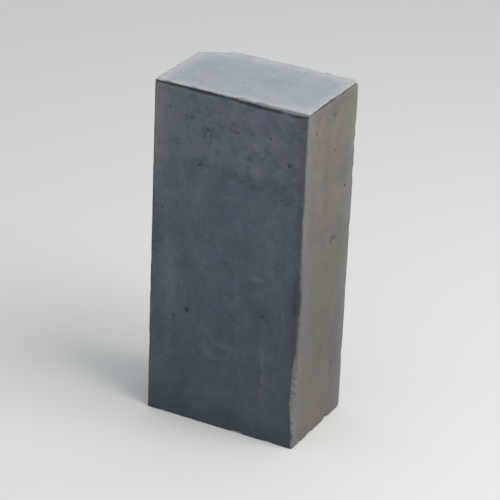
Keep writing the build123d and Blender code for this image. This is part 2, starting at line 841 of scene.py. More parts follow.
    def banded(self, bands: tuple[Band, ...], across: np.ndarray, up: np.ndarray) -> np.ndarray:
        """Strongest of some bands: each falls off as a bell curve of the distance from its arris.

        A band that fades is also times an eased step of the height, which starts where it fades.

        Args:
            bands: the bands.
            across: distances along the outline.
            up: heights.

        Returns:
            One value for each place.
        """
        marks = self.section.marks()
        values = [np.zeros(len(across))]
        for band in bands:
            way = 1.0 if band.ahead else -1.0
            away = (way * (across - marks[band.face.value])) % marks[-1]
            risen = smooth((up - band.fades_at) / self.band_fade)
            values.append(band.weight * bell(away, band.width) * risen)
        return np.max(values, axis=0)

    def spotted(self, spots: tuple[Spot, ...], across: np.ndarray, up: np.ndarray) -> np.ndarray:
        """Strongest of some spots: each is the product of bell curves across and up.

        Args:
            spots: the spots.
            across: distances along the outline.
            up: heights.

        Returns:
            One value for each place.
        """
        values = [
            spot.weight
            * bell(across - self.section.station(spot.face, spot.share), spot.wide)
            * bell(up - spot.up, spot.high)
            for spot in spots
        ]
        return np.max(values, axis=0)

    def under_skirt(self, points: np.ndarray, across: np.ndarray) -> np.ndarray:
        """Depth under the lower edge of the struck skin, which hangs over the arris.

        How far the skin hangs runs evenly from stop to stop, with noise added along the arris.

        Args:
            points: places on the wall.
            across: their distances along the outline.

        Returns:
            One depth for each place, negative on the skin.
        """
        stations = [self.section.station(stop.face, stop.share) for stop in self.skirt]
        hangs = np.interp(across, stations, [stop.hangs for stop in self.skirt])
        hangs += self.skirt_wander * Swell.SKIRT.at(points * np.array([1.0, 1.0, 0.0]))
        return self.length - points[:, 2] - hangs

    def lip(self, points: np.ndarray, across: np.ndarray) -> np.ndarray:
        """How strongly the face is undercut below the struck end's skin, where the finish also
        paints shadow.

        A bell curve of the depth under the skin, times a share that wanders along the arris with
        noise, rises at the heavy places of the back face and is each face's own.

        Args:
            points: places on the wall.
            across: their distances along the outline.

        Returns:
            One value for each place, about 0 to 1.
        """
        heavy = np.zeros(len(across))
        for share in self.heavy_places:
            heavy += bell(across - self.section.station(Face.BACK, share), self.heavy_width)
        wander = self.lip_wander * Swell.LIP.at(points * np.array([1.0, 1.0, 0.0]))
        amount = self.lip_mean + wander + self.lip_heavy * heavy
        amount = np.clip(amount, self.lip_least, self.lip_most)
        face = np.searchsorted(self.section.marks(), across, side="right") - 1
        amount *= np.array(self.lip_shares)[face]
        return amount * bell(self.under_skirt(points, across) - self.lip_drop, self.lip_width)

    def above_lift(self, points: np.ndarray) -> np.ndarray:
        """Height over the line where one lift met the next, which wanders in waves and rags."""
        waves = self.lift_waves * Swell.LIFT_WAVES.at(points)
        return points[:, 2] - self.lift_height - waves - self.lift_rags * Swell.LIFT_RAGS.at(points)

    def marks(self, points: np.ndarray, across: np.ndarray) -> dict[str, np.ndarray]:
        """All marks of the wall, by name.

        The places are first nudged by noise, so that no patch has a plain outline.

        Args:
            points: places on the wall.
            across: their distances along the outline.

        Returns:
            One value for each place, for each mark.
        """
        nudge = self.nudge * Swell.NUDGE_ALONG.at(points)
        moved, up = across + nudge, points[:, 2] + self.nudge * Swell.NUDGE_UP.at(points)
        above = self.above_lift(points)
        beside = self.banded(self.dark_bands, across + nudge / 2.0, up)
        shaded = np.maximum(beside, self.spotted(self.shades, moved, up))
        # Pale arris bands, partly painted highlight, held back where the face is stained darker.
        arris_paling = self.banded(self.pale_bands, across + np.abs(nudge) / 2.0, up)
        return {
            "pale": arris_paling * np.clip(1.0 - self.shade_hides * shaded, 0.0, 1.0),
            "dark": shaded,
            "skin": smooth(0.5 - self.under_skirt(points, across) / self.skirt_edge),
            "stain": self.spotted(self.stains, moved, up),
            "bloom": self.spotted(self.blooms, moved, up),
            "rosy": self.spotted(self.rosy, moved, up),
            "olive": self.spotted(self.olive, moved, up),
            "violet": self.spotted(self.violet, moved, up),
            "lip": self.lip(points, across),
            "lift": bell(above + self.lift_drop, self.lift_width),
            "above": smooth(above / self.lift_blend + 0.5),
        }


@dataclass
class CurbBlock:
    """The whole casting: its surface, the relief on it and the marks that its finish reads."""

    low: Vector
    high: Vector
    name: str = "curb_casting"
    bow: float = 0.5 * MM
    ripple: float = 0.20 * MM
    sand: float = 0.10 * MM
    undercut: float = 2.2 * MM
    lip_ease: float = 5.0 * MM
    lip_keeps: float = 0.2
    dish: float = 1.1 * MM
    dish_ease: float = 32.0 * MM
    dish_swell: float = 0.4
    trowel: float = 0.32 * MM
    trowel_hand: tuple[float, float] = (0.10, -0.42)
    trowel_drawn: float = 0.22
    foot_swell: float = 0.35 * MM
    lift_step: float = 0.35 * MM
    lift_ease: float = 4.0 * MM
    hole_deep: float = 0.9
    hole_uneven: float = 0.16
    upright_wear: tuple[float, ...] = (3.0 * MM, 3.0 * MM, 5.5 * MM, 3.0 * MM, 3.0 * MM)
    upright_ragged: float = 0.30
    upright_more: float = 0.1
    upright_most: float = 1.2
    wear_mean: float = 0.25
    wear_patches: float = 1.3
    wear_rags: float = 0.45
    wear_most: float = 1.4
    rim_width: float = 22.0 * MM
    rim_shares: tuple[float, ...] = (1.0, 0.75, 1.55, 1.3, 1.15)
    rim_least: float = 0.75
    corner_width: float = 26.0 * MM
    corner_rise: float = 0.6
    chip_rough: float = 0.7 * MM
    chip_rough_share: float = 0.05
    struck_wear: float = 5.5 * MM
    foot_wear: float = 7.0 * MM
    pit_full: float = 1.1 * MM
    worn_full: float = 1.4 * MM
    broken_full: float = 0.7 * MM
    # Faces turned this way, towards the lamp, are painted lit: paler and warmer, partly dust.
    lit_way: Way = (0.7, 0.2, 0.0)
    lit_mean: float = 0.3

    def __post_init__(self) -> None:
        """Works out the section, the surface and what marks them from the solid's box."""
        size = self.high - self.low
        self.length = float(size.z)
        self.section = Section(float(size.x) / 2.0, float(size.y) / 2.0)
        self.surface = CastSurface(self.section, self.length)
        self.holes = AirHoles(self.section, self.length).table()
        self.weathering = Weathering(self.section, self.length)

    def planes(self) -> tuple[np.ndarray, np.ndarray]:
        """The seven flat faces, the long ones first, then both ends.

        Returns:
            Their outward unit normals and their distances from the origin.
        """
        level = np.column_stack([self.section.normals(), np.zeros(len(Face))])
        normals = np.vstack([level, (0.0, 0.0, 1.0), (0.0, 0.0, -1.0)])
        corners = self.section.corners()
        offsets = np.sum(corners * self.section.normals(), axis=1)
        return normals, np.append(offsets, (self.length, 0.0))

    def from_arris(self, points: np.ndarray) -> np.ndarray:
        """Distances from the nearest arris and corner: second and third least face depths."""
        normals, offsets = self.planes()
        return np.partition(offsets - points @ normals.T, (1, 2), axis=1)[:, 1:3].T

    def rim(self, points: np.ndarray) -> np.ndarray:
        """How strongly the struck end's rim shows.

        Each long face's share falls off exponentially with the depth under it. The strongest of
        the five is then raised near the corners.

        Args:
            points: places on the surface.

        Returns:
            One value for each point.
        """
        normals, offsets = self.planes()
        depths = (offsets - points @ normals.T)[:, : len(Face)]
        near = np.max(np.array(self.rim_shares) * np.exp(-depths / self.rim_width), axis=1)
        corner = np.exp(-self.from_arris(points)[1] / self.corner_width)
        return near * (self.rim_least + self.corner_rise * corner)

    def side_depth(self, points: np.ndarray) -> np.ndarray:
        """How far the long faces lie in: a slow bow, ripples and sand, and the step of the lift.

        The bow, ripples and sand are layers of noise of falling size, and they ease out over
        the lip on top. The lift's step is an eased drop at the line where two lifts met.

        Args:
            points: places on the surface.

        Returns:
            Depth under the flat face at each point.
        """
        depth = self.bow * (1.0 + Swell.BOW.at(points))
        depth += self.ripple * (1.0 + Swell.RIPPLES.at(points))
        depth += self.sand * (1.0 + Swell.SAND.at(points))
        depth += self.lift_step * smooth(self.weathering.above_lift(points) / self.lift_ease)
        eased = smooth((self.length - points[:, 2]) / self.lip_ease)
        return depth * (self.lip_keeps + (1.0 - self.lip_keeps) * eased)

    def struck_depth(self, points: np.ndarray) -> np.ndarray:
        """How far the struck end lies in: a shallow dish inside the rim, and the trowel's sweeps.

        The dish eases in over a few centimetres from the rim. The sweeps are noise drawn out
        along arcs about a middle beyond the block, with finer noise for the sand.

        Args:
            points: places on the surface.

        Returns:
            Depth under the flat face at each point.
        """
        inside = smooth(self.from_arris(points)[0] / self.dish_ease)
        x, y = (points[:, :2] - np.array(self.trowel_hand)).T
        radius = np.hypot(x, y)
        sweep = self.trowel_drawn * radius.mean() * np.arctan2(x, y)
        arcs = Swell.TROWEL.at(np.column_stack([radius, sweep, points[:, 2]]))
        dish = self.dish * inside * (1.0 + self.dish_swell * Swell.DISH.at(points))
        return dish + self.trowel * (1.0 + arcs) + self.sand * Swell.STRUCK_SAND.at(points)

    def foot_depth(self, points: np.ndarray) -> np.ndarray:
        """How far the foot lies in: the base plate's slight swell and a coarse sandy skin."""
        swell = self.foot_swell * (1.0 + Swell.FOOT.at(points))
        return swell + self.sand * (1.0 + Swell.FOOT_SAND.at(points))

    def holes_depth(self, points: np.ndarray, across: np.ndarray) -> np.ndarray:
        """Depth of the air holes: each is a round bowl, deepest in its middle, a little uneven.

        The bowl is a share of the radius times the square root of one less the square of the
        distance over the radius, where noise stretches the distance.

        Args:
            points: places on the wall.
            across: their distances along the outline.

        Returns:
            Depth at each point.
        """
        uneven = 1.0 + self.hole_uneven * Swell.HOLE_RIMS.at(points)
        depth = np.zeros(len(points))
        for middle, height, radius in self.holes:
            away = np.hypot(across - middle, points[:, 2] - height) * uneven / radius
            bowl = self.hole_deep * radius * np.sqrt(np.clip(1.0 - away**2, 0.0, None))
            depth = np.maximum(depth, bowl)
        return depth

    def rounded(
        self, points: np.ndarray, first: int, second: int, radius: np.ndarray
    ) -> np.ndarray:
        """Points outside a rounding between two flat faces, put back onto it.

        The rounding's axis lies the radius under both faces. A point stands off from it by a
        part along each face's normal, and where both parts are positive and their sum is
        longer than the radius, that sum is cut to the radius.

        Args:
            points: places on the surface.
            first: number of one face.
            second: number of the other.
            radius: radius of the rounding at each point.

        Returns:
            The moved points.
        """
        normals, offsets = self.planes()
        pair = normals[[first, second]]
        stand = radius[:, None] - (offsets[[first, second]] - points @ pair.T)
        parts = stand @ np.linalg.inv(pair @ pair.T)
        away = np.sqrt(np.clip(np.sum(parts * stand, axis=1), 1e-12, None))
        cut = np.clip(away - radius, 0.0, None) / away * (parts > 0.0).all(axis=1)
        return points - (parts * cut[:, None]) @ pair

    def worn(self, points: np.ndarray) -> tuple[np.ndarray, np.ndarray]:
        """Arrises worn round: each rounding's radius grows in patches, with a ragged edge.

        The radius is the mould's own, plus the most wear times a share that is noise in large
        patches plus some fine noise, held above 0. The upright arrises are less ragged.

        Args:
            points: places on the surface.

        Returns:
            The moved points, and how far each was moved.
        """
        patches = self.wear_patches * Swell.WEAR.at(points) + self.wear_mean
        ragged = self.wear_rags * Swell.WEAR_RAGS.at(points)
        share = np.clip(patches + ragged, 0.0, self.wear_most)
        calm = patches + self.upright_ragged * ragged + self.upright_more
        calm = np.clip(calm, 0.0, self.upright_most)
        radii, count = self.section.radii(), len(Face)
        struck, foot = self.surface.struck_radius, self.surface.foot_radius
        moved = points.copy()
        for k in range(count):
            wear = radii[k] + self.upright_wear[k] * calm
            moved = self.rounded(moved, k, (k - 1) % count, wear)
            moved = self.rounded(moved, k, End.STRUCK.value, struck + self.struck_wear * share)
            moved = self.rounded(moved, k, End.FOOT.value, foot + self.foot_wear * share)
        return moved, np.linalg.norm(moved - points, axis=1)

    def chipped(self, points: np.ndarray) -> tuple[np.ndarray, np.ndarray]:
        """Chips knocked off: what lies in a chip's ball goes back onto the ball's rough surface.

        Args:
            points: places on the surface.

        Returns:
            The moved points, and how far each was moved.
        """
        rough = Swell.BROKEN.at(points)
        moved = points.copy()
        for middle, radius in zip(*Chips(self.section, self.length).balls(*self.planes())):
            away = moved - middle
            distance = np.linalg.norm(away, axis=1)
            reach = radius + min(self.chip_rough, self.chip_rough_share * radius) * rough
            push = np.clip(reach - distance, 0.0, None)
            moved += away * (push / distance)[:, None]
        return moved, np.linalg.norm(moved - points, axis=1)

    def shaped(self) -> tuple[np.ndarray, dict[str, np.ndarray]]:
        """All points of the casting and the marks that its finish reads.

        Returns:
            The points, and for each mark its name and one value for each point.
        """
        surface = self.surface
        wall, wall_normals, across = surface.wall(self.holes)
        struck = surface.end_grid(wall[-surface.around() :])[1:-1, 1:-1].reshape(-1, 3)
        foot = surface.end_grid(wall[: surface.around()])[1:-1, 1:-1].reshape(-1, 3)
        points = np.vstack([wall, struck, foot])
        ends = np.zeros((len(struck) + len(foot), 3))
        ends[: len(struck), 2], ends[len(struck) :, 2] = 1.0, -1.0
        normals = np.vstack([wall_normals, ends])
        rest = np.zeros(len(ends))
        marks = {
            name: np.append(values, rest)
            for name, values in self.weathering.marks(wall, across).items()
        }
        pit = np.append(self.holes_depth(wall, across), rest)
        on_top = np.clip(normals[:, 2], 0.0, 1.0) ** 2
        on_foot = np.clip(-normals[:, 2], 0.0, 1.0) ** 2
        side = self.side_depth(points) + self.undercut * marks["lip"]
        depth = (1.0 - on_top - on_foot) * side + pit
        depth += on_top * self.struck_depth(points) + on_foot * self.foot_depth(points)
        moved, wear = self.worn(points - normals * depth[:, None])
        moved, broken = self.chipped(moved)
        moved = np.clip(moved, np.array(self.low), np.array(self.high))
        marks["pit"] = smooth(pit / self.pit_full)
        marks["worn"] = smooth(wear / self.worn_full)
        marks["broken"] = smooth(broken / self.broken_full)
        marks["struck"] = on_top
        marks["rim"] = self.rim(points)
        # Share of the lit side's painted light, partly dust, by how far a face turns towards the
        # lamp.
        marks["lit_and_dusty"] = np.clip(normals @ np.array(self.lit_way) + self.lit_mean, 0.0, 1.0)
        return moved, marks

    def build(self) -> bpy.types.Object:
        """Makes the casting's mesh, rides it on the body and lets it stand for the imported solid.

        Returns:
            The casting.
        """
        points, marks = self.shaped()
        quads = self.surface.faces()
        mesh = bpy.data.meshes.new(self.name)
        mesh.vertices.add(len(points))
        mesh.vertices.foreach_set("co", points.astype(np.float32).ravel())
        mesh.loops.add(quads.size)
        mesh.loops.foreach_set("vertex_index", quads.astype(np.int32).ravel())
        mesh.polygons.add(len(quads))
        mesh.polygons.foreach_set("loop_start", np.arange(0, quads.size, 4, dtype=np.int32))
        mesh.polygons.foreach_set("use_smooth", np.ones(len(quads), dtype=bool))
        for mark, values in marks.items():
            layer = mesh.attributes.new(mark, "FLOAT", "POINT")
            layer.data.foreach_set("value", values.astype(np.float32))
        mesh.update(calc_edges=True)
        mesh.validate()
        casting = bpy.data.objects.new(self.name, mesh)
        bpy.context.scene.collection.objects.link(casting)
        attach(casting, "root")
        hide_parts("curb_block")
        return casting


@dataclass(frozen=True)
class Pattern:
    """Noise read as a share: its size, the span that eases it, and its detail and roughness."""

    size: float
    span: Span
    detail: float = 3.0
    rough: float = 0.6


class Sheet:
    """Short calls that add nodes to one tree and join them up. A size is in metres."""

    def __init__(self, tree: bpy.types.NodeTree) -> None:
        """Empties the tree, to fill it anew."""
        self.tree = tree
        tree.nodes.clear()

    @cached_property
    def place(self) -> Socket:
        """Where on the object, in its own coordinates."""
        return self.add("ShaderNodeTexCoord").outputs["Object"]

    @cached_property
    def height(self) -> Socket:
        """How high on the object."""
        return self.add("ShaderNodeSeparateXYZ", {0: self.place}).outputs["Z"]

    def add(self, kind: str, inputs: dict | None = None, **settings: object) -> bpy.types.Node:
        """Adds a node.

        Args:
            kind: the node's type.
            inputs: what goes into its inputs, by name or number: a socket to join or a value.
            settings: its own options.

        Returns:
            The node.
        """
        node = self.tree.nodes.new(kind)
        for option, value in settings.items():
            setattr(node, option, value)
        for key, value in (inputs or {}).items():
            self.feed(node.inputs[key], value)
        return node

    def feed(self, entry: Socket, value: object) -> None:
        """Joins a socket to an input, or sets the input to a value.

        Args:
            entry: the input.
            value: the socket or the value.
        """
        if isinstance(value, bpy.types.NodeSocket):
            self.tree.links.new(value, entry)
        else:
            entry.default_value = value

    def math(self, operation: str, a: object, b: object = 0.5, c: object = 0.5) -> Socket:
        """Result of one sum on two or three values."""
        return self.add("ShaderNodeMath", {0: a, 1: b, 2: c}, operation=operation).outputs[0]

    def times(self, first: object, *others: object) -> Socket:
        """Product of some values.

        Args:
            first: a socket or a number.
            others: more of them.

        Returns:
            The product, or the first value where there is no other.
        """
        for other in others:
            first = self.math("MULTIPLY", first, other)
        return first

    def moved(self, vector: object, scale: Way = (1.0,) * 3, shift: Way = (0.0,) * 3) -> Socket:
        """Coordinates scaled and shifted, to draw a pattern out or move it."""
        inputs = {"Vector": vector, "Scale": scale, "Location": shift}
        return self.add("ShaderNodeMapping", inputs).outputs[0]

    def warped(self, vector: object, size: float, reach: float) -> Socket:
        """Coordinates pushed about by noise, so that patterns on them have ragged outlines.

        Args:
            vector: the coordinates.
            size: how large the noise's swells are.
            reach: the most that it pushes to each side.

        Returns:
            The coordinates less the reach, plus twice the reach times the noise's colour.
        """
        inputs = {"Vector": vector, "Scale": 1.0 / size, "Detail": 3.0}
        noise = self.add("ShaderNodeTexNoise", inputs)
        back = self.moved(vector, shift=(-reach,) * 3)
        inputs = {0: noise.outputs["Color"], 1: (2.0 * reach,) * 3, 2: back}
        return self.add("ShaderNodeVectorMath", inputs, operation="MULTIPLY_ADD").outputs[0]

    def noise(self, vector: object, size: float, detail: float = 3.0, rough: float = 0.6) -> Socket:
        """Noise whose largest swells are about size across, near 0.5 on average."""
        inputs = {"Vector": vector, "Scale": 1.0 / size, "Detail": detail, "Roughness": rough}
        return self.add("ShaderNodeTexNoise", inputs).outputs["Fac"]

    def cells(self, vector: object, size: float, output: str = "Distance") -> Socket:
        """Cell pattern about size across: distance from each cell's point, or its own colour."""
        inputs = {"Vector": vector, "Scale": 1.0 / size}
        return self.add("ShaderNodeTexVoronoi", inputs).outputs[output]

    def ramp(self, value: object, span: Span) -> Socket:
        """Value eased from one range into another and held at its ends.

        Args:
            value: the value.
            span: where the range begins and ends, and what the value becomes at each.

        Returns:
            The new value.
        """
        names = ("Value", "From Min", "From Max", "To Min", "To Max")
        inputs = dict(zip(names, (value, *span)))
        node = self.add("ShaderNodeMapRange", inputs, interpolation_type="SMOOTHSTEP", clamp=True)
        return node.outputs["Result"]

    def mix(self, share: object, a: object, b: object, blend: str = "MIX") -> Socket:
        """Two colours mixed by a share.

        Args:
            share: how much of the second one, from 0 to 1.
            a: the first colour.
            b: the second colour.
            blend: how the second one is laid on.

        Returns:
            The mixed colour.
        """
        node = self.add("ShaderNodeMix", data_type="RGBA", blend_type=blend, clamp_factor=True)
        for slot, value in ((0, share), (6, a), (7, b)):
            opaque = (*value, 1.0) if isinstance(value, tuple) else value
            self.feed(node.inputs[slot], opaque)
        return node.outputs[2]

    def patches(self, pattern: Pattern, on: Socket | None = None) -> Socket:
        """Share that a pattern gives: its noise, eased over its span."""
        noise = self.noise(on or self.place, pattern.size, pattern.detail, pattern.rough)
        return self.ramp(noise, pattern.span)

    def laid(self, colour: object, over: object, *shares: object) -> Socket:
        """Colour with a second one laid over it by the product of some shares."""
        return self.mix(self.times(*shares), colour, over)

    def tinted(self, colour: object, cast: object) -> Socket:
        """Product of two colours."""
        return self.mix(1.0, colour, cast, "MULTIPLY")

    def mark(self, name: str) -> Socket:
        """One of the piece's own marks."""
        return self.add("ShaderNodeAttribute", attribute_name=name).outputs["Fac"]


@dataclass(frozen=True)
class ConcreteFinish:
    """Cast concrete: grey mould faces, a pale trowelled end, broken arrises, a darker foot.

    The mould faces are painted as in shade and the side turned to the lamp as lit, partly dust; the
    foot's dark is moisture and dirt, partly painted ground shade.
    """

    length: float
    # The mould colours paint the concrete as in shade: darker and bluer than the lit side.
    mould_dark: Colour = (0.089, 0.122, 0.162)
    mould_mid: Colour = (0.127, 0.163, 0.210)
    mould_pale: Colour = (0.176, 0.210, 0.254)
    mauve: Colour = (0.160, 0.185, 0.219)
    # Tones by height: darker low and paler high, partly painted shade from the ground.
    low_tone: Colour = (0.780, 0.806, 0.836)
    high_tone: Colour = (1.155, 1.168, 1.150)
    violet_cast: Colour = (1.045, 0.985, 1.040)
    green_cast: Colour = (0.955, 1.010, 0.975)
    rosy_cast: Colour = (1.060, 0.975, 0.960)
    olive_cast: Colour = (0.975, 1.010, 0.930)
    edge_pale: Colour = (0.270, 0.290, 0.312)
    edge_pale_lit: Colour = (0.310, 0.309, 0.297)
    # The side turned to the lamp: concrete painted lit, paler and warmer, partly dust.
    lit_warm: Colour = (0.248, 0.224, 0.206)
    lit_grey: Colour = (0.205, 0.200, 0.189)
    lit_foot: Colour = (0.272, 0.242, 0.213)
    violet: Colour = (1.030, 0.945, 1.040)
    rosy: Colour = (0.285, 0.205, 0.182)
    olive: Colour = (0.215, 0.205, 0.160)
    struck_pale: Colour = (0.360, 0.400, 0.450)
    struck_grey: Colour = (0.285, 0.310, 0.350)
    struck_rim: Colour = (0.490, 0.515, 0.545)
    skin_violet: Colour = (1.025, 0.992, 1.018)
    skin_green: Colour = (0.975, 1.006, 0.985)
    broken: Colour = (0.282, 0.268, 0.243)
    # The darker foot: moisture and dirt, partly painted shade from the ground.
    damp_and_shade: Colour = (0.058, 0.083, 0.112)
    stain: Colour = (0.070, 0.084, 0.100)
    # Painted shadow in the undercut below the struck skin's lip.
    shade: Colour = (0.040, 0.046, 0.052)
    # Painted shade inside the air holes and pores.
    pit: Colour = (0.038, 0.044, 0.050)
    clouds: Pattern = Pattern(150.0 * MM, (0.30, 0.70, 0.0, 1.0), 4.0)
    hung_dark: Pattern = Pattern(48.0 * MM, (0.46, 0.60, 0.0, 0.45))
    hung_pale: Pattern = Pattern(48.0 * MM, (0.30, 0.42, 0.35, 0.0))
    mottle: Pattern = Pattern(30.0 * MM, (0.50, 0.60, 0.0, 1.0), 2.0, 0.5)
    blooming: Pattern = Pattern(22.0 * MM, (0.55, 0.66, 0.0, 0.40), 3.0, 0.55)
    flecks: Pattern = Pattern(9.0 * MM, (0.60, 0.68, 0.0, 0.7), 2.0, 0.5)
    pale_streaks: Pattern = Pattern(16.0 * MM, (0.56, 0.74, 0.0, 0.32))
    dark_streaks: Pattern = Pattern(16.0 * MM, (0.30, 0.44, 0.28, 0.0))
    mould_hues: Pattern = Pattern(34.0 * MM, (0.38, 0.62, 0.0, 1.0))
    greying: Pattern = Pattern(55.0 * MM, (0.42, 0.62, 0.0, 1.0))
    lit_hues: Pattern = Pattern(42.0 * MM, (0.38, 0.62, 0.0, 1.0))
    uneven: Pattern = Pattern(18.0 * MM, (0.30, 0.62, 0.35, 1.0), 4.0, 0.65)
    torn: Pattern = Pattern(9.0 * MM, (0.36, 0.60, 0.25, 1.5))
    skin_clouds: Pattern = Pattern(60.0 * MM, (0.38, 0.68, 0.0, 0.55), 4.0)
    skin_hues: Pattern = Pattern(50.0 * MM, (0.38, 0.62, 0.0, 1.0))
    strokes: Pattern = Pattern(7.0 * MM, (0.55, 0.75, 0.0, 0.35))
    specks: Pattern = Pattern(9.0 * MM, (0.62, 0.70, 0.0, 0.4))
    patchy_rim: Pattern = Pattern(22.0 * MM, (0.35, 0.60, 0.55, 1.0))
    sand: Pattern = Pattern(2.2 * MM, (0.25, 0.75, 0.84, 1.16), 2.0, 0.7)
    lime_places: Pattern = Pattern(40.0 * MM, (0.50, 0.60, 0.0, 1.0), 3.0, 0.55)
    pore_places: Pattern = Pattern(30.0 * MM, (0.47, 0.55, 0.0, 1.0), 3.0, 0.55)
    dullness: Pattern = Pattern(25.0 * MM, (0.3, 0.7, 0.78, 0.92), 3.0, 0.55)
    mottle_depth: Span = (0.0, 1.0, 0.42, 0.60)
    toning: Span = (0.05, 1.0, 0.0, 1.0)
    paling_upward: Span = (0.45, 0.80, 0.98, 1.13)
    foot_warmth: Span = (0.05, 0.25, 0.75, 0.0)
    stain_edge: Span = (0.15, 0.90, 0.0, 1.0)
    lift_fading: Span = (0.1, 0.9, 0.30, 0.10)
    lip_shadow_edge: Span = (0.15, 0.75, 0.0, 1.0)
    foot_dark_edge: Span = (-45.0 * MM, 35.0 * MM, 0.7, 0.0)
    foot_dark_on_lit: Span = (0.2, 1.0, 1.0, 0.15)
    rim_edge: Span = (0.08, 0.75, 0.0, 0.82)
    stone_tones: Span = (0.2, 0.8, 0.8, 1.2)
    lime_edge: Span = (0.06, 0.12, 1.0, 0.0)
    pore_edge: Span = (0.05, 0.10, 1.0, 0.0)
    pore_dip: Span = (0.04, 0.10, -1.2, 0.0)
    mid_share: float = 0.50
    mauve_share: float = 0.65
    lit_share: float = 0.93
    lit_mottle: float = 0.42
    tint_share: float = 0.8
    shade_share: float = 0.85
    stain_share: float = 0.50
    bloom_share: float = 0.6
    pale_share: float = 0.9
    lip_shadow_share: float = 0.75
    broken_share: float = 0.7
    worn_share: float = 0.25
    lime_share: float = 0.45
    pore_share: float = 0.6
    pit_share: float = 0.55
    rag_size: float = 20.0 * MM
    rag_reach: float = 9.0 * MM
    hang_draw: Way = (1.0, 1.0, 0.5)
    streak_draw: Way = (1.0, 1.0, 0.09)
    cloud_draw: Way = (0.5, 1.0, 1.0)
    stroke_draw: Way = (0.12, 1.0, 1.0)
    elsewhere: Way = (0.3, 0.1, 0.7)
    aside: Way = (0.4, 0.2, 0.1)
    foot_dark_size: float = 35.0 * MM
    foot_dark_wander: float = 90.0 * MM
    stone_size: float = 5.0 * MM
    lime_size: float = 8.0 * MM
    pore_size: float = 12.0 * MM
    grain_size: float = 1.8 * MM
    grain_rough: float = 0.65
    worn_relief: float = 0.6
    broken_relief: float = 2.0
    relief_reach: float = 0.35 * MM
    relief_strength: float = 0.55
    specular: float = 0.35

    def material(self) -> bpy.types.Material:
        """Builds the finish: aged sides, the struck skin over them, then specks, pores and relief.

        Returns:
            The material.
        """
        material = bpy.data.materials.new("cast_concrete")
        material.use_nodes = True
        sheet = Sheet(material.node_tree)
        colour = self.aged(sheet, self.side_colour(sheet))
        skin = sheet.math("MAXIMUM", sheet.mark("struck"), sheet.mark("skin"))
        colour = sheet.laid(colour, self.struck_colour(sheet), skin)
        inputs = {
            "Base Color": self.speckled(sheet, colour),
            "Roughness": sheet.patches(self.dullness),
            "Normal": self.relief(sheet),
            "Specular IOR Level": self.specular,
        }
        shader = sheet.add("ShaderNodeBsdfPrincipled", inputs)
        sheet.add("ShaderNodeOutputMaterial", {"Surface": shader.outputs[0]})
        return material

    def side_colour(self, sheet: Sheet) -> Socket:
        """Long faces: clouds, ragged mottling, a mauve upper lift and streaks, painted as in shade,
        or the lit side.

        Args:
            sheet: the sheet to draw on.

        Returns:
            The mould faces' colour, painted as in shade, mixed into the lit side's painted light by
            how far a face turns to the lamp.
        """
        ragged = sheet.warped(sheet.place, self.rag_size, self.rag_reach)
        hung = sheet.moved(ragged, self.hang_draw)
        elsewhere = sheet.moved(ragged, shift=self.elsewhere)
        streaked = sheet.moved(sheet.place, self.streak_draw)
        above = sheet.mark("above")
        depth = sheet.ramp(above, self.mottle_depth)
        colour = sheet.laid(self.mould_dark, self.mould_pale, sheet.patches(self.clouds))
        colour = sheet.laid(colour, self.mould_mid, self.mid_share)
        colour = sheet.laid(colour, self.mould_dark, sheet.patches(self.hung_dark, hung))
        colour = sheet.laid(colour, self.mould_pale, sheet.patches(self.hung_pale, hung))
        colour = sheet.laid(colour, self.mauve, above, self.mauve_share)
        colour = sheet.laid(colour, self.mould_dark, sheet.patches(self.mottle, ragged), depth)
        colour = sheet.laid(colour, self.mould_pale, sheet.patches(self.blooming, elsewhere))
        colour = sheet.laid(colour, self.mould_dark, sheet.patches(self.flecks, elsewhere), depth)
        colour = sheet.laid(colour, self.mould_pale, sheet.patches(self.pale_streaks, streaked))
        colour = sheet.laid(colour, self.mould_dark, sheet.patches(self.dark_streaks, streaked))
        hues = sheet.patches(self.mould_hues, elsewhere)
        colour = sheet.tinted(colour, sheet.mix(hues, self.green_cast, self.violet_cast))
        # Darker towards the foot and paler towards the top: partly painted shade from the ground.
        toned = sheet.mix(self.risen(sheet, self.toning), self.low_tone, self.high_tone)
        colour = sheet.tinted(colour, toned)
        # The side turned to the lamp takes painted light: paler, warmer colour, partly dust.
        lit_dusty = self.lit_colour(sheet, ragged)
        return sheet.laid(colour, lit_dusty, sheet.mark("lit_and_dusty"), self.lit_share)

    def lit_colour(self, sheet: Sheet, ragged: Socket) -> Socket:
        """Side turned to the lamp: cement painted lit, paler and warmer, partly dust; greyer in
        patches, paler above and warmer by the foot.

        Args:
            sheet: the sheet to draw on.
            ragged: the object coordinates, pushed about.

        Returns:
            The colour.
        """
        lit_dusty = sheet.laid(self.lit_warm, self.lit_grey, sheet.patches(self.greying, ragged))
        lit_dusty = sheet.tinted(lit_dusty, self.risen(sheet, self.paling_upward))
        hues = sheet.patches(self.lit_hues)
        lit_dusty = sheet.tinted(lit_dusty, sheet.mix(hues, self.olive_cast, self.rosy_cast))
        mottle = sheet.patches(self.mottle, ragged)
        lit_dusty = sheet.laid(lit_dusty, self.lit_grey, mottle, self.lit_mottle)
        return sheet.laid(lit_dusty, self.lit_foot, self.risen(sheet, self.foot_warmth))

    def risen(self, sheet: Sheet, span: Span) -> Socket:
        """Height eased over a span, whose own two heights are shares of the length."""
        return sheet.ramp(sheet.math("DIVIDE", sheet.height, self.length), span)

